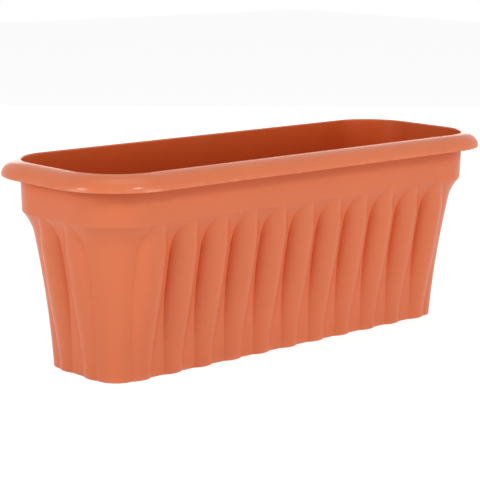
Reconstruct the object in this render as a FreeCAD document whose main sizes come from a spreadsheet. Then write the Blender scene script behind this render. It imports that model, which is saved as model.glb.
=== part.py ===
import FreeCAD, Part
import Sketcher
import math
import os

# A long window box planter: one thin-walled trough with a rolled rim, a plain band below it
# and convex ribs down its tapering walls, and push-in plugs in the drain holes of its floor.
# Millimetres. The origin is at the middle of the foot, the length runs along X, +Z is up.

doc = FreeCAD.newDocument("window_box")

# ---------------------------------------------------------------- driving dimensions

DIMENSIONS = [
    ("overall_length", 800, "over the rim, the long way"),
    ("overall_width", 292, "over the rim, front to back"),
    ("overall_height", 294, "foot to crown of the rim"),
    ("corner_radius", 100, "of the rim's outline in plan"),
    ("wall", 2.4, "thickness of the moulding"),
    ("rim_reach", 25.2, "from the crown of the rim out to its lip"),
    ("rim_drop", 22, "from the crown down to the lip's lower edge"),
    ("rim_roundness", 34, "half axis across of the rim's elliptical section"),
    ("lip_rounding", 0.8, "of the lip's outer lower edge"),
    ("band_bottom", 72, "depth below the crown where the plain band ends"),
    ("band_inset", 27.8, "wall inside the lip at the bottom of the band"),
    ("shoulder_drop", 28, "height of the cove under the band"),
    ("shoulder_inset", 43.3, "wall inside the lip at the bottom of the cove"),
    ("cove_start", 1.5, "slope where the cove leaves the band, over its mean slope"),
    ("cove_end", 0.5, "slope where the cove meets the wall, over its mean slope"),
    ("foot_inset", 69.5, "wall inside the lip at the foot"),
    ("wall_bow", 0.5, "how much the wall's taper starts above its mean, as a share of it"),
    ("rib_pitch", 56, "between rib centres, as near as the side allows"),
    ("rib_margin", 20, "last rib centre to the start of the corner, long sides"),
    ("end_rib_margin", 19, "last rib centre to the start of the corner, ends"),
    ("rib_radius", 31.4, "of a rib's round face in plan"),
    ("rib_height", 14.3, "the most that a rib stands out of the wall, long sides"),
    ("end_rib_height", 10.5, "the most that a rib stands out of the wall, ends"),
    ("rib_rise", 0.22, "share of the lower wall's height over which a rib swells out"),
    ("rib_fall", 0.40, "share of that height where the rib starts to shrink again"),
    ("rib_foot", 0.35, "share of a rib's greatest height that is left at the foot"),
    ("rib_seed", 3.6, "width of the line that a rib grows out of, under the band"),
    ("rib_gap", 2.5, "least flat between two ribs"),
    ("rib_to_corner", 0.5, "least flat between the last rib and the corner's round"),
    ("floor_lift", 6, "underside of the floor above the ground"),
    ("foot_wall", 4, "width of the foot ring between the ribs"),
    ("drain_count", 4, "drain holes along the middle of the floor"),
    ("drain_pitch", 160, "between drain holes"),
    ("drain_bore", 14, "diameter of a drain hole"),
    ("plug_clearance", 0.3, "radial, between a plug's stem and its hole"),
    ("plug_head", 24, "diameter of a plug's head"),
    ("plug_head_height", 2.5, "thickness of a plug's head"),
    ("plug_stem_length", 6.4, "from the head down to the stem's tip"),
    ("plug_stem_draft", 0.9, "how much the stem's radius shrinks to its tip"),
    ("plug_knob", 9, "diameter of the knob that a plug is pulled out by"),
    ("plug_knob_height", 7, "knob above the head"),
    ("plug_edge", 0.8, "rounding of the plug's edges"),
]

sizes = doc.addObject("Spreadsheet::Sheet", "Sizes")
for row, (name, value, meaning) in enumerate(DIMENSIONS, start=1):
    sizes.set("A%d" % row, name)
    sizes.set("B%d" % row, str(value))
    sizes.setAlias("B%d" % row, name)
    sizes.set("C%d" % row, meaning)
doc.recompute()


def size(name):
    return float(sizes.get(name))


# ---------------------------------------------------------------- the trough's outlines

X_AXIS = FreeCAD.Vector(1, 0, 0)
Y_AXIS = FreeCAD.Vector(0, 1, 0)
Z_AXIS = FreeCAD.Vector(0, 0, 1)

half_width = size("overall_width") / 2
height = size("overall_height")
wall = size("wall")
corner_x = size("overall_length") / 2 - size("corner_radius")
corner_y = half_width - size("corner_radius")
floor_top = size("floor_lift") + wall
lower_wall = height - size("band_bottom")

# Each side of the plan: the direction along it, its outward normal, the half run up to the
# corner's centre, the corner centre's distance out, its rib margin and greatest rib height.
LONG_SIDE = (corner_x, corner_y, size("rib_margin"), size("rib_height"))
END_SIDE = (corner_y, corner_x, size("end_rib_margin"), size("end_rib_height"))
SIDES = [
    (X_AXIS, -Y_AXIS) + LONG_SIDE,
    (Y_AXIS, X_AXIS) + END_SIDE,
    (-X_AXIS, Y_AXIS) + LONG_SIDE,
    (-Y_AXIS, -X_AXIS) + END_SIDE,
]


def smooth_step(share):
    share = min(1, max(0, share))
    return share * share * (3 - 2 * share)


def wall_inset(share):
    """Inset of the wall from the lip, by share of the height from the band to the foot."""
    drop = share * lower_wall
    cove = size("shoulder_drop")
    if drop < cove:
        s = drop / cove
        run = size("shoulder_inset") - size("band_inset")
        leaving = size("cove_start") * (s ** 3 - 2 * s ** 2 + s)
        meeting = size("cove_end") * (s ** 3 - s ** 2)
        return size("band_inset") + run * (leaving + meeting + smooth_step(s))
    s = (drop - cove) / (lower_wall - cove)
    run = size("foot_inset") - size("shoulder_inset")
    bow = size("wall_bow")
    return size("shoulder_inset") + run * ((1 + bow) * s - bow * s * s)


def rib_swell(share):
    """How far a rib stands out of the wall, as a share of its greatest height."""
    rise = math.sin(math.pi / 2 * min(1, share / size("rib_rise")))
    shrink = smooth_step((share - size("rib_fall")) / (1 - size("rib_fall")))
    return rise * (1 - (1 - size("rib_foot")) * shrink)


def rib_centres(half_run, margin):
    span = 2 * max(0, half_run - margin)
    gaps = round(span / size("rib_pitch"))
    if gaps == 0:
        return [0]
    return [span * (k / gaps - 0.5) for k in range(gaps + 1)]


def ribbed_side(side, share, inner):
    """Edges of one side's outline at one height: its flats and the round faces of its ribs."""
    along, out, half_run, corner_out, margin, most = side
    thinner = wall if inner else 0
    round_radius = size("corner_radius") - wall_inset(share) - thinner
    face_radius = size("rib_radius") - thinner
    level = Z_AXIS * lower_wall * (1 - share)
    rib = most * rib_swell(share)
    centres = rib_centres(half_run, margin)
    pitch = centres[1] - centres[0] if len(centres) > 1 else 2 * half_run
    half = size("rib_seed") / 2
    if rib > 0:
        half = max(half, math.sqrt(2 * face_radius * rib - rib * rib))
    half = min(half, (pitch - size("rib_gap")) / 2)

    def on_wall(u):
        past = max(0, abs(u) - half_run)
        reach = math.sqrt(round_radius ** 2 - past ** 2)
        return along * u + out * (corner_out + reach) + level

    end = max(half_run, centres[-1] + half + size("rib_to_corner"))
    here = on_wall(-end)
    edges = []
    for centre in centres:
        foot_a = on_wall(centre - half)
        foot_b = on_wall(centre + half)
        edges.append(Part.makeLine(here, foot_a))
        if rib > 0:
            crest = along * centre + out * (corner_out + round_radius + rib) + level
            edges.append(Part.Arc(foot_a, crest, foot_b).toShape())
        else:
            edges.append(Part.makeLine(foot_a, foot_b))
        here = foot_b
    edges.append(Part.makeLine(here, on_wall(end)))

    # the middle of the corner's round that follows, which turns to the left
    middle = out * corner_out + along * half_run + (out + along) * (round_radius * math.sqrt(0.5))
    return edges, on_wall(-end), on_wall(end), middle + level


def ribbed_outline(share, inner):
    """Closed wire round the lower wall at one height, ribs and all, outside or inside it."""
    runs = [ribbed_side(side, share, inner) for side in SIDES]
    edges = []
    for k, (run, start, end, middle) in enumerate(runs):
        next_start = runs[(k + 1) % len(runs)][1]
        edges += run
        edges.append(Part.Arc(end, middle, next_start).toShape())
    return Part.Wire(edges)


# ---------------------------------------------------------------- the trough's solids

# Shares of the lower wall's height, from the band down, where an outline is drawn: close
# together in the cove and where the ribs start, further apart down the plain taper.
SECTION_SHARES = [0, 0.02, 0.045, 0.08, 0.126, 0.18, 0.25, 0.34, 0.44, 0.55, 0.67, 0.79, 0.9]
LEAST_SPACING = 0.03
floor_share = 1 - floor_top / lower_wall


def rounded_block(inset, top):
    """A block with the trough's rounded plan, inset from the lip, standing on the ground."""
    block_radius = size("corner_radius") - inset
    reach_x = corner_x + block_radius
    reach_y = corner_y + block_radius
    block = Part.makeBox(2 * reach_x, 2 * reach_y, top, FreeCAD.Vector(-reach_x, -reach_y, 0))
    upright = [edge for edge in block.Edges if edge.Vertexes[0].Z != edge.Vertexes[1].Z]
    return block.makeFillet(block_radius, upright)


def lower_shell():
    """The ribbed, tapering wall with its floor and foot ring, open at the top."""
    outside = [ribbed_outline(share, False) for share in SECTION_SHARES + [1]]
    above_floor = [share for share in SECTION_SHARES if share < floor_share - LEAST_SPACING]
    inside = [ribbed_outline(share, True) for share in above_floor + [floor_share]]
    shell = Part.makeLoft(outside, True, False).cut(Part.makeLoft(inside, True, False))
    return shell.cut(rounded_block(size("foot_inset") + size("foot_wall"), size("floor_lift")))


def rim_section():
    """Face across the front wall at the middle of its run: rolled rim and plain band."""
    reach = size("rim_reach")
    drop = size("rim_drop")
    across = size("rim_roundness")
    soft = size("lip_rounding")
    widest = drop - soft
    up = widest / math.sqrt(1 - ((across - reach) / across) ** 2)

    def point(inset, depth):
        return FreeCAD.Vector(0, inset - half_width, height - depth)

    def quarter_round(start, centre, end):
        radius = (start - centre).Length
        bisector = (start - centre) + (end - centre)
        middle = centre + bisector * (radius / bisector.Length)
        return Part.Arc(start, middle, end).toShape()

    def rim_arc(thinner, inset_a, inset_b):
        centre = point(across, widest)
        major = centre - Y_AXIS * (across - thinner)
        minor = centre + Z_AXIS * (up - thinner)
        ellipse = Part.Ellipse(major, minor, centre)
        low = math.acos((across - inset_b) / (across - thinner))
        high = math.acos((across - inset_a) / (across - thinner))
        return Part.ArcOfEllipse(ellipse, low, high).toShape()

    under = rim_arc(wall, reach, wall)
    root = max((vertex.Point for vertex in under.Vertexes), key=lambda place: place.z)
    band_outside = point(size("band_inset"), size("band_bottom"))
    band_inside = point(size("band_inset") + wall, size("band_bottom"))
    crown_inside = point(reach + wall, wall)
    edges = [
        rim_arc(0, reach, 0),
        quarter_round(point(0, widest), point(soft, widest), point(soft, drop)),
        Part.makeLine(point(soft, drop), point(wall, drop)),
        Part.makeLine(point(wall, drop), point(wall, widest)),
        under,
        Part.makeLine(root, band_outside),
        Part.makeLine(band_outside, band_inside),
        Part.makeLine(band_inside, crown_inside),
        quarter_round(crown_inside, point(reach, wall), point(reach, 0)),
    ]
    return Part.Face(Part.Wire(Part.__sortEdges__(edges)))


def rim_and_band():
    """The rim's section run along the four sides and turned round the four corners."""
    section = rim_section()
    pieces = []
    for quarter, (along, out, half_run, corner_out, margin, most) in enumerate(SIDES):
        side = section.copy()
        side.translate(FreeCAD.Vector(half_run, corner_y - corner_out, 0))
        straight = side.extrude(-2 * half_run * X_AXIS)
        corner = side.revolve(FreeCAD.Vector(half_run, -corner_out, 0), Z_AXIS, 90)
        for piece in (straight, corner):
            piece.rotate(FreeCAD.Vector(), Z_AXIS, 90 * quarter)
            pieces.append(piece)
    return pieces[0].multiFuse(pieces[1:]).removeSplitter()


moulding = doc.addObject("Part::Feature", "moulding")
moulding.Shape = lower_shell().fuse(rim_and_band())

# ---------------------------------------------------------------- drain holes

drain_count = round(size("drain_count"))
drain_places = [(k - (drain_count - 1) / 2, k + 1) for k in range(drain_count)]

drills = []
for place, number in drain_places:
    drill = doc.addObject("Part::Cylinder", "drain_drill_%d" % number)
    drill.setExpression("Radius", "Sizes.drain_bore / 2")
    drill.setExpression("Height", "Sizes.floor_lift + 2 * Sizes.wall")
    drill.setExpression("Placement.Base.x", "Sizes.drain_pitch * %s" % place)
    drills.append(drill)

drilling = doc.addObject("Part::MultiFuse", "drilling")
drilling.Shapes = drills

trough = doc.addObject("Part::Cut", "trough")
trough.Base = moulding
trough.Tool = drilling
trough.Label = "trough"

# ---------------------------------------------------------------- drain plugs

BORE_FIT = "Sizes.drain_bore / 2 - Sizes.plug_clearance"
PLUG_CORNERS = [
    ("0", "-Sizes.plug_stem_length"),
    (BORE_FIT + " - Sizes.plug_stem_draft", "-Sizes.plug_stem_length"),
    (BORE_FIT, "-Sizes.wall"),
    (BORE_FIT, "0"),
    ("Sizes.plug_head / 2", "0"),
    ("Sizes.plug_head / 2", "Sizes.plug_head_height"),
    ("Sizes.plug_knob / 2", "Sizes.plug_head_height"),
    ("Sizes.plug_knob / 2", "Sizes.plug_head_height + Sizes.plug_knob_height"),
    ("0", "Sizes.plug_head_height + Sizes.plug_knob_height"),
]
SAME_LENGTH = 1e-6


def evaluate(text):
    return float(sizes.evalExpression(text.replace("Sizes.", "")))


def closed_sketch(body, name, corners):
    """Polygon on the body's XZ plane, each corner held by two expressions of the sheet."""
    sketch = body.newObject("Sketcher::SketchObject", name)
    plane = next(item for item in body.Origin.OriginFeatures if item.Role == "XZ_Plane")
    sketch.AttachmentSupport = [(plane, "")]
    sketch.MapMode = "FlatFace"
    places = [FreeCAD.Vector(evaluate(across), evaluate(up), 0) for across, up in corners]
    count = len(places)
    for k in range(count):
        sketch.addGeometry(Part.LineSegment(places[k], places[(k + 1) % count]), False)
    for k in range(count):
        sketch.addConstraint(Sketcher.Constraint("Coincident", k, 2, (k + 1) % count, 1))
    for k, (across, up) in enumerate(corners):
        for kind, text in (("DistanceX", across), ("DistanceY", up)):
            held = Sketcher.Constraint(kind, -1, 1, k, 1, evaluate(text))
            index = sketch.addConstraint(held)
            sketch.setExpression("Constraints[%d]" % index, text)
    return sketch


def round_edge(shape, diameter, level):
    """Name of the shape's circular edge with this diameter at this height."""
    for index, edge in enumerate(shape.Edges, start=1):
        if isinstance(edge.Curve, Part.Circle):
            off = abs(2 * edge.Curve.Radius - diameter) + abs(edge.Curve.Center.z - level)
            if off < SAME_LENGTH:
                return "Edge%d" % index
    raise RuntimeError("no round edge of %.2f mm at %.2f mm" % (diameter, level))


def drain_plug(place, number):
    """Soft plug: a tapering stem in the drain hole, a flat head on the floor and a knob."""
    body = doc.addObject("PartDesign::Body", "drain_plug_%d" % number)
    body.Label = "drain_plug_%d" % number
    outline = closed_sketch(body, "plug_outline_%d" % number, PLUG_CORNERS)
    turned = body.newObject("PartDesign::Revolution", "plug_turned_%d" % number)
    turned.Profile = outline
    turned.ReferenceAxis = (outline, ["V_Axis"])
    turned.Angle = 360
    doc.recompute()
    head_top = size("plug_head_height")
    head_edge = round_edge(turned.Shape, size("plug_head"), head_top)
    knob_edge = round_edge(turned.Shape, size("plug_knob"), head_top + size("plug_knob_height"))
    rounded = body.newObject("PartDesign::Fillet", "plug_rounded_%d" % number)
    rounded.Base = (turned, [head_edge, knob_edge])
    rounded.setExpression("Radius", "Sizes.plug_edge")
    body.Tip = rounded
    body.setExpression("Placement.Base.x", "Sizes.drain_pitch * %s" % place)
    body.setExpression("Placement.Base.z", "Sizes.floor_lift + Sizes.wall")
    return body


plugs = [drain_plug(place, number) for place, number in drain_places]

# ---------------------------------------------------------------- check and write

doc.recompute()
subparts = [trough] + plugs
for item in doc.Objects:
    if "Invalid" in item.State or "Error" in item.State:
        raise RuntimeError("%s did not build: %s" % (item.Label, item.State))
for item in subparts:
    if item.Shape.isNull() or not item.Shape.isValid():
        raise RuntimeError("%s has no valid shape" % item.Label)

os.makedirs("parts", exist_ok=True)
for item in subparts:
    item.Shape.exportStep("parts/%s.step" % item.Label)
    box = item.Shape.BoundBox
    print("%-14s solids %d  faces %d  volume %.1f cm3  box %.1f %.1f %.1f  bottom %.2f" % (
        item.Label, len(item.Shape.Solids), len(item.Shape.Faces), item.Shape.Volume / 1000,
        box.XLength, box.YLength, box.ZLength, box.ZMin))
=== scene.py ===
# %% [markdown]
# # A terracotta-coloured window box
#
# The object is a long plastic planter that stands on a sill or hangs in a rail bracket. It is
# one thin moulding: a rolled rim, a plain band under it, and walls that taper to the foot with
# convex ribs down them. Four soft plugs close the drain holes in its floor.
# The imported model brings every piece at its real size, in metres. This lesson sets up the
# photographer's camera, lights and floor, then gives the moulding its coloured plastic, and
# models the drain plugs again with the details that a soft moulded part has.

# %% Load the frame
import bpy
import math
from mathutils import Matrix, Vector


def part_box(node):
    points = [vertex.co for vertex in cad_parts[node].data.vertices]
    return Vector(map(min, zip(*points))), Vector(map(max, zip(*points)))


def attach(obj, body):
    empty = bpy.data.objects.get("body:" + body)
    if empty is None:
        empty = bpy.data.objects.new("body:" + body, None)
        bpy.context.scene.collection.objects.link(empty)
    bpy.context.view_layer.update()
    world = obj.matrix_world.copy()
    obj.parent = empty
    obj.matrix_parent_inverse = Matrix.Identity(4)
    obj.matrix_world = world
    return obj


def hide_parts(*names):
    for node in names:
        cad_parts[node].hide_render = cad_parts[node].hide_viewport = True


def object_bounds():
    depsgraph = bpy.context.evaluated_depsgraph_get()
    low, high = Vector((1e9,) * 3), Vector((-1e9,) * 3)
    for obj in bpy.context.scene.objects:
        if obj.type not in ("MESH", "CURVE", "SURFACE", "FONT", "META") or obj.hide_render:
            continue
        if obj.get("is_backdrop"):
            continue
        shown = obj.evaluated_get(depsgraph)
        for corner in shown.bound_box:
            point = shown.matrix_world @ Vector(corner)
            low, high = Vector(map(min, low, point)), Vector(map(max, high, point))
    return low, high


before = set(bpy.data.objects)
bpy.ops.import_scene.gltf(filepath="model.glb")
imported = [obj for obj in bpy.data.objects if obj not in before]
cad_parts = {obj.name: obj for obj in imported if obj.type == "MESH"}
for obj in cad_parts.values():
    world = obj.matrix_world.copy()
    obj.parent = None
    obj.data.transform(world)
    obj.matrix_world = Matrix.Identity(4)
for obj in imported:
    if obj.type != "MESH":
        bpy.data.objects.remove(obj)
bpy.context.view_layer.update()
print("pieces:", sorted(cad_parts))

# %% [markdown]
# ## The camera
#
# The photograph looks slightly down on the planter from the front left, so that its left end,
# its long front and a strip of the inside show. The lines of the rim and the foot run towards
# each other only a little, which tells that the camera stood well back with a long lens. The
# three angles and the place were found by laying those lines over the photograph.
# A camera looks along its own -Z axis. The view direction is worked out first, from the turn
# and the tilt, and the other two axes follow from cross products. That is easier to check than
# three Euler angles, and it allows the slight roll of the photograph.

# %% Camera: the three axes of the view
TURN = math.radians(42.6615)
TILT = math.radians(11.0156)
ROLL = math.radians(0.5812)

flat_ahead = Vector((math.sin(TURN), math.cos(TURN), 0))
ahead = flat_ahead * math.cos(TILT) - Vector((0, 0, math.sin(TILT)))
level_right = Vector((math.cos(TURN), -math.sin(TURN), 0))
level_up = level_right.cross(ahead)
view_right = level_right * math.cos(ROLL) + level_up * math.sin(ROLL)
view_up = level_up * math.cos(ROLL) - level_right * math.sin(ROLL)
view_axes = Matrix((view_right, view_up, -ahead)).transposed()
print("the camera looks along", [round(part, 3) for part in ahead])

# %% Camera: place it and give it its lens
CAMERA_PLACE = Vector((-1.7118, -1.8258, 0.6353))
PHOTO_PIXELS = 480
FOCAL_PIXELS = 1707.47
SENSOR_MM = 36

bpy.ops.object.camera_add(location=CAMERA_PLACE, rotation=view_axes.to_euler())
camera = bpy.context.object
camera.name = "photo_camera"
camera.data.sensor_width = SENSOR_MM
camera.data.lens = FOCAL_PIXELS * SENSOR_MM / PHOTO_PIXELS
bpy.context.scene.camera = camera
print("lens, mm:", round(camera.data.lens, 1))

# %% [markdown]
# ## The lights
#
# The shading on the ribs tells where the lamps were. Each rib is brightest on the face that
# looks straight out of its wall, and dark on both flanks, so each wall had a large soft lamp
# in front of it, low down. The inside of the box is dark, so little light came from above.
# The rolled rim carries a glint on each side of its corner. Those come from two smaller and
# brighter lamps higher up: a glint shows how bright its lamp looks, not how much light it gives.
# A lamp is placed by the direction it shines from: degrees round the planter, counted from
# straight in front and positive to the right, and degrees above the floor.

# %% Lights: a softbox that faces the planter
LAMP_DISTANCE = 3.0


def softbox(name, around, above, side, watts):
    """A square lamp, its side in metres, in the direction given in degrees."""
    around = math.radians(around)
    above = math.radians(above)
    flat = math.cos(above)
    direction = Vector((math.sin(around) * flat, -math.cos(around) * flat, math.sin(above)))
    facing = direction.to_track_quat("Z", "Y").to_euler()
    place = direction * LAMP_DISTANCE
    bpy.ops.object.light_add(type="AREA", location=place, rotation=facing)
    lamp = bpy.context.object
    lamp.name = name
    lamp.data.shape = "SQUARE"
    lamp.data.size = side
    lamp.data.energy = watts
    print(name, "at", [round(part, 2) for part in place], "m,", watts, "W")


# %% Lights: one for each wall, one above and two smaller ones for the glints on the rim
softbox("end_softbox", around=-96, above=4, side=1.4, watts=29.5)
softbox("front_softbox", around=14, above=6, side=1.4, watts=39)
softbox("top_softbox", around=0, above=88, side=2.0, watts=20)
softbox("back_softbox", around=140, above=8, side=2.4, watts=55)
softbox("end_glint", around=-92, above=24, side=0.6, watts=19.5)
softbox("front_glint", around=-8, above=36, side=0.6, watts=21.5)

# %% [markdown]
# ## The white surroundings
#
# The photograph has a pure white background, but a white world would also flood the planter
# with light and take its shading away. The world therefore has two strengths. Light Path says
# what kind of ray is asking: the camera, a glossy reflection or a clear material sees white,
# at strength 1, and every other ray gets the weak fill light that the shadows need.


# %% Surroundings: 1 for the rays that should see white, 0 for the rest
def larger(tree, first, second):
    node = tree.nodes.new("ShaderNodeMath")
    node.operation = "MAXIMUM"
    tree.links.new(first, node.inputs[0])
    tree.links.new(second, node.inputs[1])
    return node.outputs["Value"]


def sees_white(tree):
    ray = tree.nodes.new("ShaderNodeLightPath").outputs
    mirror_or_glass = larger(tree, ray["Is Glossy Ray"], ray["Is Transmission Ray"])
    return larger(tree, ray["Is Camera Ray"], mirror_or_glass)


# %% Surroundings: the world
WHITE = (1, 1, 1, 1)
WHITE_STRENGTH = 1
FILL_STRENGTH = 0.18

world = bpy.data.worlds.new("white_studio")
world.use_nodes = True
bpy.context.scene.world = world
air = world.node_tree
fill = air.nodes["Background"]
fill.inputs["Color"].default_value = WHITE
fill.inputs["Strength"].default_value = FILL_STRENGTH
white = air.nodes.new("ShaderNodeBackground")
white.inputs["Color"].default_value = WHITE
white.inputs["Strength"].default_value = WHITE_STRENGTH
fill_or_white = air.nodes.new("ShaderNodeMixShader")
air.links.new(sees_white(air), fill_or_white.inputs["Fac"])
air.links.new(fill.outputs["Background"], fill_or_white.inputs[1])
air.links.new(white.outputs["Background"], fill_or_white.inputs[2])
air.links.new(fill_or_white.outputs["Shader"], air.nodes["World Output"].inputs["Surface"])

bpy.context.scene.view_settings.view_transform = "Standard"
print("world: fill", FILL_STRENGTH, "and white", WHITE_STRENGTH)

# %% [markdown]
# ## The floor
#
# The planter stands on the same white. A plain white plane would show as pale grey, because
# the lamps are turned down for the plastic. So the paint is part diffuse, which takes the
# planter's soft shadow, and part glow, which lifts it to white where it is looked at. The
# share of the two decides how much of the shadow is left.

# %% Floor: the plane
FLOOR_SIDE = 12

bpy.ops.object.select_all(action="DESELECT")
bpy.ops.mesh.primitive_plane_add(size=FLOOR_SIDE)
floor = bpy.context.object
floor.name = "studio_floor"
floor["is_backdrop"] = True
print("floor, m:", FLOOR_SIDE, "square")

# %% Floor: its paint
PAINT_WHITE = (0.85, 0.85, 0.85, 1)
PAINT_ROUGHNESS = 0.9
GLOW_SHARE = 0.75
GLOW_STRENGTH = 1.2

floor_paint = bpy.data.materials.new("studio_floor_paint")
floor_paint.use_nodes = True
floor.data.materials.append(floor_paint)
paint = floor_paint.node_tree
matt = paint.nodes["Principled BSDF"]
matt.inputs["Base Color"].default_value = PAINT_WHITE
matt.inputs["Roughness"].default_value = PAINT_ROUGHNESS
glow = paint.nodes.new("ShaderNodeEmission")
glow.inputs["Strength"].default_value = GLOW_STRENGTH
glow_share = paint.nodes.new("ShaderNodeMath")
glow_share.operation = "MULTIPLY"
glow_share.inputs[1].default_value = GLOW_SHARE
matt_or_glow = paint.nodes.new("ShaderNodeMixShader")
paint.links.new(sees_white(paint), glow_share.inputs[0])
paint.links.new(glow_share.outputs["Value"], matt_or_glow.inputs["Fac"])
paint.links.new(matt.outputs["BSDF"], matt_or_glow.inputs[1])
paint.links.new(glow.outputs["Emission"], matt_or_glow.inputs[2])
paint.links.new(matt_or_glow.outputs["Shader"], paint.nodes["Material Output"].inputs["Surface"])
print("floor paint:", len(paint.nodes), "nodes")

# %% [markdown]
# ## The moulding's plastic
#
# The trough is polypropylene, coloured right through in a terracotta orange. Its surface comes
# from a lightly blasted steel mould, so it is satin, not shiny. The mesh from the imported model
# has the right shape, so it stays, and all the work goes into its material.
# The gloss has two layers. The coloured body is nearly matt, and a clear smoother skin, the
# shader's coat, lies over it, where the melt took the polish of the steel.

# %% Plastic: a new material for the trough
BLASTED_ROUGHNESS = 0.42
BODY_GLOSS = 0.05
SKIN_GLOSS = 0.36
SKIN_ROUGHNESS = 0.17

terracotta = bpy.data.materials.new("terracotta_plastic")
terracotta.use_nodes = True
clay = terracotta.node_tree
plastic = clay.nodes["Principled BSDF"]
plastic.inputs["Specular IOR Level"].default_value = BODY_GLOSS
plastic.inputs["Coat Weight"].default_value = SKIN_GLOSS
plastic.inputs["Coat Roughness"].default_value = SKIN_ROUGHNESS
print("new material:", terracotta.name)

# %% [markdown]
# Light that falls into a narrow place bounces from wall to wall and takes on more of the
# plastic's own colour each time, and so the valleys between the ribs and the inside of the box
# look a deeper, redder orange than the open faces. Here that is painted shade: the base colour
# itself is made deeper, redder and darker there. An Ambient Occlusion node measures how open
# each point is, from 0, shut in, to 1, and a Color Ramp turns that into the painted colours. The
# photograph shows the reddest one a little way below the mouth. Further down, which it doesn't
# show, the walls and the floor go back towards the open colour, because the render makes that
# depth dark by itself.

# %% Plastic: painted shade, a deeper, redder orange where the surface is enclosed
# Painted shade in the base colour, by how open the surface is: enclosed places are painted darker
# and redder.
PAINTED_SHADE_AT_OPENNESS = {
    0.28: (0.66, 0.125, 0.042, 1),
    0.42: (0.51, 0.044, 0.0, 1),
    0.55: (0.65, 0.108, 0.024, 1),
    0.88: (0.70, 0.178, 0.073, 1),
}
ENCLOSED_REACH = 0.4
ENCLOSED_RAYS = 8

openness = clay.nodes.new("ShaderNodeAmbientOcclusion")
openness.only_local = True
openness.samples = ENCLOSED_RAYS
openness.inputs["Distance"].default_value = ENCLOSED_REACH
# This ramp paints the shade into the base colour.
painted_shades = clay.nodes.new("ShaderNodeValToRGB")
stops = painted_shades.color_ramp.elements
for position, shade in PAINTED_SHADE_AT_OPENNESS.items():
    stops.new(position).color = shade
stops.remove(stops[0])
stops.remove(stops[len(stops) - 1])
clay.links.new(openness.outputs["AO"], painted_shades.inputs["Fac"])
print("shades at:", [round(stop.position, 2) for stop in stops])

# %% [markdown]
# Pigment never mixes quite evenly with the melt. Two noises change the brightness a little:
# a slow one, for the broad clouds that the flow leaves on a long moulding, and a fast one, for
# the specks of the pigment itself. Both read Object coordinates, so that the pattern belongs
# to the planter and is the same from every side.

# %% Plastic: a noise, and a way to stretch it over a range
NOISE_LOW = 0.3
NOISE_HIGH = 0.7


def noise(tree, coordinates, per_metre, detail):
    """A noise whose features are about one over per_metre apart, on Object coordinates."""
    texture = tree.nodes.new("ShaderNodeTexNoise")
    texture.inputs["Scale"].default_value = per_metre
    texture.inputs["Detail"].default_value = detail
    tree.links.new(coordinates, texture.inputs["Vector"])
    return texture.outputs["Fac"]


def spread(tree, value, low, high):
    """A noise seldom leaves NOISE_LOW to NOISE_HIGH, so that part is stretched from low to high."""
    stretch = tree.nodes.new("ShaderNodeMapRange")
    stretch.inputs["From Min"].default_value = NOISE_LOW
    stretch.inputs["From Max"].default_value = NOISE_HIGH
    stretch.inputs["To Min"].default_value = low
    stretch.inputs["To Max"].default_value = high
    tree.links.new(value, stretch.inputs["Value"])
    return stretch.outputs["Result"]


def around_middle(tree, value, middle, width):
    return spread(tree, value, middle - width / 2, middle + width / 2)


def multiply(tree, first, second):
    product = tree.nodes.new("ShaderNodeMath")
    product.operation = "MULTIPLY"
    tree.links.new(first, product.inputs[0])
    tree.links.new(second, product.inputs[1])
    return product.outputs["Value"]


# %% Plastic: clouds and specks in the pigment
CLOUDS_PER_METRE = 5
CLOUD_DEPTH = 0.05
SPECKS_PER_METRE = 900
SPECK_DEPTH = 0.05

on_planter = clay.nodes.new("ShaderNodeTexCoord").outputs["Object"]
clouds = noise(clay, on_planter, CLOUDS_PER_METRE, detail=2)
specks = noise(clay, on_planter, SPECKS_PER_METRE, detail=1)
brightness = multiply(
    clay,
    around_middle(clay, clouds, 1, CLOUD_DEPTH),
    around_middle(clay, specks, 1, SPECK_DEPTH),
)
# The painted shade from the ramp, made a little lighter or darker by the pigment's clouds and
# specks.
pigment_and_painted_shade = clay.nodes.new("ShaderNodeVectorMath")
pigment_and_painted_shade.operation = "SCALE"
clay.links.new(painted_shades.outputs["Color"], pigment_and_painted_shade.inputs["Vector"])
clay.links.new(brightness, pigment_and_painted_shade.inputs["Scale"])
print("clouds, mm:", 1000 / CLOUDS_PER_METRE, "specks, mm:", round(1000 / SPECKS_PER_METRE, 1))

# %% [markdown]
# A planter is lifted by its lip and pushed about on its foot, so the plastic is rubbed a little
# paler there, in patches. The height above the floor says where: one Map Range rises towards
# the foot, and two more rise and fall round the lip's edge. The inside at the same height must
# stay clean, so the openness, which is low there, is a third condition. A noise breaks it all
# into patches.

# %% Plastic: where hands and the ground rub it
FOOT_RUB_TOP = 0.010
LIP_RUB_BELOW = (0.262, 0.270)
LIP_RUB_ABOVE = (0.280, 0.274)
OPEN_TO_HANDS = (0.80, 0.95)


def ramp_up(tree, value, none, full):
    """0 where the value is none, 1 where it is full, and even between them."""
    ramp = tree.nodes.new("ShaderNodeMapRange")
    ramp.inputs["From Min"].default_value = none
    ramp.inputs["From Max"].default_value = full
    tree.links.new(value, ramp.inputs["Value"])
    return ramp.outputs["Result"]


split_place = clay.nodes.new("ShaderNodeSeparateXYZ")
clay.links.new(on_planter, split_place.inputs["Vector"])
height = split_place.outputs["Z"]
at_foot = ramp_up(clay, height, FOOT_RUB_TOP, 0)
below_edge = ramp_up(clay, height, *LIP_RUB_BELOW)
above_edge = ramp_up(clay, height, *LIP_RUB_ABOVE)
at_foot_or_lip = larger(clay, at_foot, multiply(clay, below_edge, above_edge))
in_reach = ramp_up(clay, openness.outputs["AO"], *OPEN_TO_HANDS)
rubbing = multiply(clay, at_foot_or_lip, in_reach)
print("rubbed below, mm:", 1000 * FOOT_RUB_TOP)

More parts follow.
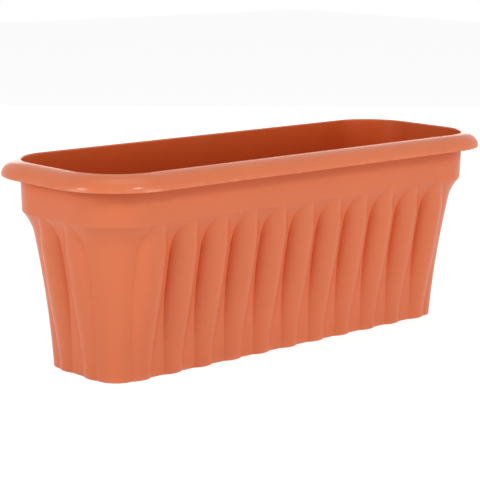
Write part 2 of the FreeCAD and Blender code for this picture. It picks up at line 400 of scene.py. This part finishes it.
# %% Plastic: paler where it is rubbed
RUBBED_ORANGE = (0.76, 0.27, 0.14, 1)
MOST_RUBBED = 0.5
PATCHES_PER_METRE = 70

patches = spread(clay, noise(clay, on_planter, PATCHES_PER_METRE, detail=3), 0, MOST_RUBBED)
# A is the painted shade with the pigment; this mix only makes it paler where rubbed, and its result
# is the base colour.
rubbed = clay.nodes.new("ShaderNodeMix")
rubbed.data_type = "RGBA"
rubbed.inputs["B"].default_value = RUBBED_ORANGE
clay.links.new(multiply(clay, rubbing, patches), rubbed.inputs["Factor"])
clay.links.new(pigment_and_painted_shade.outputs["Vector"], rubbed.inputs["A"])
clay.links.new(rubbed.outputs["Result"], plastic.inputs["Base Color"])
print("patches, mm:", round(1000 / PATCHES_PER_METRE, 1))

# %% [markdown]
# The last layer is what the fingers feel. A very fine grain, a twentieth of a millimetre deep,
# roughens the body, and its polish changes slightly from place to place, because the mould
# wears where the melt runs in.

# %% Plastic: blasted grain and uneven polish
GRAINS_PER_METRE = 1400
GRAIN_DEPTH = 0.00005
GRAIN_STRENGTH = 0.35
POLISH_PER_METRE = 14
POLISH_SPREAD = 0.03

grain = clay.nodes.new("ShaderNodeBump")
grain.inputs["Strength"].default_value = GRAIN_STRENGTH
grain.inputs["Distance"].default_value = GRAIN_DEPTH
clay.links.new(noise(clay, on_planter, GRAINS_PER_METRE, detail=2), grain.inputs["Height"])
clay.links.new(grain.outputs["Normal"], plastic.inputs["Normal"])
wear = noise(clay, on_planter, POLISH_PER_METRE, detail=3)
polish = around_middle(clay, wear, BLASTED_ROUGHNESS, POLISH_SPREAD)
clay.links.new(polish, plastic.inputs["Roughness"])
print(terracotta.name, "has", len(clay.nodes), "nodes")

# %% Plastic: onto the trough
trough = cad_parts["trough"]
trough.data.materials.clear()
trough.data.materials.append(terracotta)
print("trough:", len(trough.data.polygons), "faces, material", terracotta.name)

# %% [markdown]
# ## The drain plugs
#
# A planter that stands indoors keeps its drain holes shut with soft plugs. Each has a flat head
# that seals on the floor, a stem that fills the hole, and a knob to pull it out by. The packed
# model has plain plugs, which are right for the motion. Here one plug is modelled again as a
# moulder would make it: hollow from below, so that the stem gives, with a shallow ring in the
# head, a waist under the knob's cap for the fingertips, and soft edges.
# It could be a curve turned round an axis, but extruding a disc upwards, ring by ring, shows
# each change of width as one step, and gives clean rows of faces.

# %% Plugs: sizes, in metres
FLOOR_TOP = 0.0084
FLOOR_THICKNESS = 0.0024
STEM_RADIUS = 0.0067
TIP_RADIUS = 0.0058
HEAD_RADIUS = 0.012
HEAD_HEIGHT = 0.0025
KNOB_RADIUS = 0.0045
KNOB_WAIST = 0.0033

plug_low, plug_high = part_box("drain_plug_1")
hole_middle = (plug_low[0] + plug_high[0]) / 2
tip_height = plug_low[2]
knob_height = plug_high[2]
print("plug, mm:", round(1000 * (knob_height - tip_height), 1), "tall")

# %% Plugs: pick flat faces by their height, and move or widen what is picked
SAME_LEVEL = 1e-5
NEARLY_FLAT = 0.9


def pick_level(mesh_object, level, facing):
    """Select the faces that lie flat at one height and look up (1) or down (-1)."""
    bpy.ops.mesh.select_all(action="DESELECT")
    bpy.ops.object.mode_set(mode="OBJECT")
    for polygon in mesh_object.data.polygons:
        at_level = abs(polygon.center.z - level) < SAME_LEVEL
        polygon.select = at_level and polygon.normal.z * facing > NEARLY_FLAT
    bpy.ops.object.mode_set(mode="EDIT")


def raise_ring(step, wider=1):
    """Extrude the picked disc along Z, then change its width about the hole's middle."""
    bpy.ops.mesh.extrude_region_move(TRANSFORM_OT_translate={"value": (0, 0, step)})
    bpy.ops.transform.resize(value=(wider, wider, 1), center_override=(hole_middle, 0, 0))


# %% Plugs: a thin disc at the tip of the stem
ROUND_STEPS = 48
DISC = 0.001

bpy.ops.object.select_all(action="DESELECT")
bpy.ops.mesh.primitive_cylinder_add(
    vertices=ROUND_STEPS,
    radius=TIP_RADIUS,
    depth=DISC,
    location=(hole_middle, 0, tip_height + DISC / 2),
)
plug = bpy.context.object
plug.name = "soft_plug_1"
bpy.ops.object.transform_apply(location=True, rotation=True, scale=True)
print("disc:", len(plug.data.polygons), "faces")

# %% Plugs: the stem and the head, from the disc upwards
disc_top = tip_height + DISC
under_floor = FLOOR_TOP - FLOOR_THICKNESS - disc_top
head_top = FLOOR_TOP + HEAD_HEIGHT

bpy.ops.object.mode_set(mode="EDIT")
pick_level(plug, disc_top, 1)
raise_ring(under_floor, STEM_RADIUS / TIP_RADIUS)
raise_ring(FLOOR_THICKNESS)
raise_ring(0, HEAD_RADIUS / STEM_RADIUS)
raise_ring(HEAD_HEIGHT)
print("head, mm:", 2000 * HEAD_RADIUS, "across, its top at", round(1000 * head_top, 1))

# %% Plugs: a shallow ring in the head, round the knob
RING_OUTSIDE = 0.0030
RING_WIDTH = 0.0016
RING_DEPTH = 0.0006

pick_level(plug, head_top, 1)
bpy.ops.mesh.inset(thickness=RING_OUTSIDE)
raise_ring(-RING_DEPTH)
bpy.ops.mesh.inset(thickness=RING_WIDTH)
raise_ring(RING_DEPTH)
bpy.ops.mesh.inset(thickness=HEAD_RADIUS - RING_OUTSIDE - RING_WIDTH - KNOB_RADIUS)
print("ring, mm:", 1000 * RING_WIDTH, "wide and", 1000 * RING_DEPTH, "deep")

# %% Plugs: the knob, with a waist under its cap, in shares of its height
KNOB_RISES = (
    (0.25, KNOB_WAIST / KNOB_RADIUS),
    (0.25, 1),
    (0.20, KNOB_RADIUS / KNOB_WAIST),
    (0.30, 1),
)

knob = knob_height - head_top
for share, wider in KNOB_RISES:
    raise_ring(share * knob, wider)
print("knob, mm:", round(1000 * knob, 1), "tall")

# %% Plugs: hollow the stem from below
STEM_WALL = 0.0016
HOLLOW_DEPTH = 0.0052

pick_level(plug, tip_height, -1)
bpy.ops.mesh.inset(thickness=STEM_WALL)
bpy.ops.mesh.extrude_region_move(TRANSFORM_OT_translate={"value": (0, 0, HOLLOW_DEPTH)})
bpy.ops.object.mode_set(mode="OBJECT")
print("plug:", len(plug.data.polygons), "faces")

# %% Plugs: soft edges and smooth shading
EDGE_ROUND = 0.00035
EDGE_STEPS = 3
ROUND_ABOVE = math.radians(35)
SMOOTH_BELOW = math.radians(40)

soft_edges = plug.modifiers.new("soft_edges", "BEVEL")
soft_edges.width = EDGE_ROUND
soft_edges.segments = EDGE_STEPS
soft_edges.limit_method = "ANGLE"
soft_edges.angle_limit = ROUND_ABOVE
bpy.ops.object.modifier_apply(modifier=soft_edges.name)
bpy.ops.object.shade_smooth_by_angle(angle=SMOOTH_BELOW)
print("plug with soft edges:", len(plug.data.polygons), "faces")

# %% [markdown]
# ## The plugs' soft plastic
#
# The plugs are soft black plastic, matt like rubber. Black plastic is never quite black: dust
# and fingers leave it grey in patches. Its surface is slightly pebbled, because such small
# parts come from a spark-eroded mould.

# %% Plug plastic: black, with dust in patches
PLUG_BLACK = (0.022, 0.022, 0.024, 1)
PLUG_DUST = (0.085, 0.075, 0.068, 1)
MOST_DUST = 0.6
DUST_PER_METRE = 260
PLUG_GLOSS = 0.35

soft_black = bpy.data.materials.new("soft_black_plastic")
soft_black.use_nodes = True
gum = soft_black.node_tree
rubber = gum.nodes["Principled BSDF"]
rubber.inputs["Specular IOR Level"].default_value = PLUG_GLOSS
on_plug = gum.nodes.new("ShaderNodeTexCoord").outputs["Object"]
dust = spread(gum, noise(gum, on_plug, DUST_PER_METRE, detail=4), 0, MOST_DUST)
dusty = gum.nodes.new("ShaderNodeMix")
dusty.data_type = "RGBA"
dusty.inputs["A"].default_value = PLUG_BLACK
dusty.inputs["B"].default_value = PLUG_DUST
gum.links.new(dust, dusty.inputs["Factor"])
gum.links.new(dusty.outputs["Result"], rubber.inputs["Base Color"])
print("new material:", soft_black.name)

# %% Plug plastic: uneven polish and pebbles
SMOOTHEST = 0.55
ROUGHEST = 0.7
FINGERS_PER_METRE = 400
PEBBLES_PER_METRE = 2500
PEBBLE_DEPTH = 0.00005
PEBBLE_STRENGTH = 0.3

fingered = noise(gum, on_plug, FINGERS_PER_METRE, detail=2)
gum.links.new(spread(gum, fingered, SMOOTHEST, ROUGHEST), rubber.inputs["Roughness"])
pebbles = gum.nodes.new("ShaderNodeBump")
pebbles.inputs["Strength"].default_value = PEBBLE_STRENGTH
pebbles.inputs["Distance"].default_value = PEBBLE_DEPTH
gum.links.new(noise(gum, on_plug, PEBBLES_PER_METRE, detail=1), pebbles.inputs["Height"])
gum.links.new(pebbles.outputs["Normal"], rubber.inputs["Normal"])
plug.data.materials.append(soft_black)
print(soft_black.name, "has", len(gum.nodes), "nodes")

# %% [markdown]
# ## One plug for each hole
#
# All four plugs come from the same mould. The first one is already in its hole, and each copy
# moves on by the distance between two holes. Every plug rides on its own body, so that it
# follows its own joint.

# %% Plugs: copy the first one along the floor
PLUG_COUNT = 4

hole_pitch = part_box("drain_plug_2")[0][0] - plug_low[0]

bpy.ops.object.select_all(action="DESELECT")
plug.select_set(True)
for number in range(1, PLUG_COUNT + 1):
    if number > 1:
        bpy.ops.object.duplicate_move(TRANSFORM_OT_translate={"value": (hole_pitch, 0, 0)})
        bpy.ops.object.transform_apply(location=True, rotation=True, scale=True)
    plug = bpy.context.object
    plug.name = f"soft_plug_{number}"
    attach(plug, f"plug_{number}")
    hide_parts(f"drain_plug_{number}")
print("holes apart, mm:", round(1000 * hole_pitch, 1))

# %% Measure the box of the finished model
visual_low, visual_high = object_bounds()
finished_box = [round(1000 * side, 1) for side in visual_high - visual_low]
print("box of the finished model, mm:", finished_box)
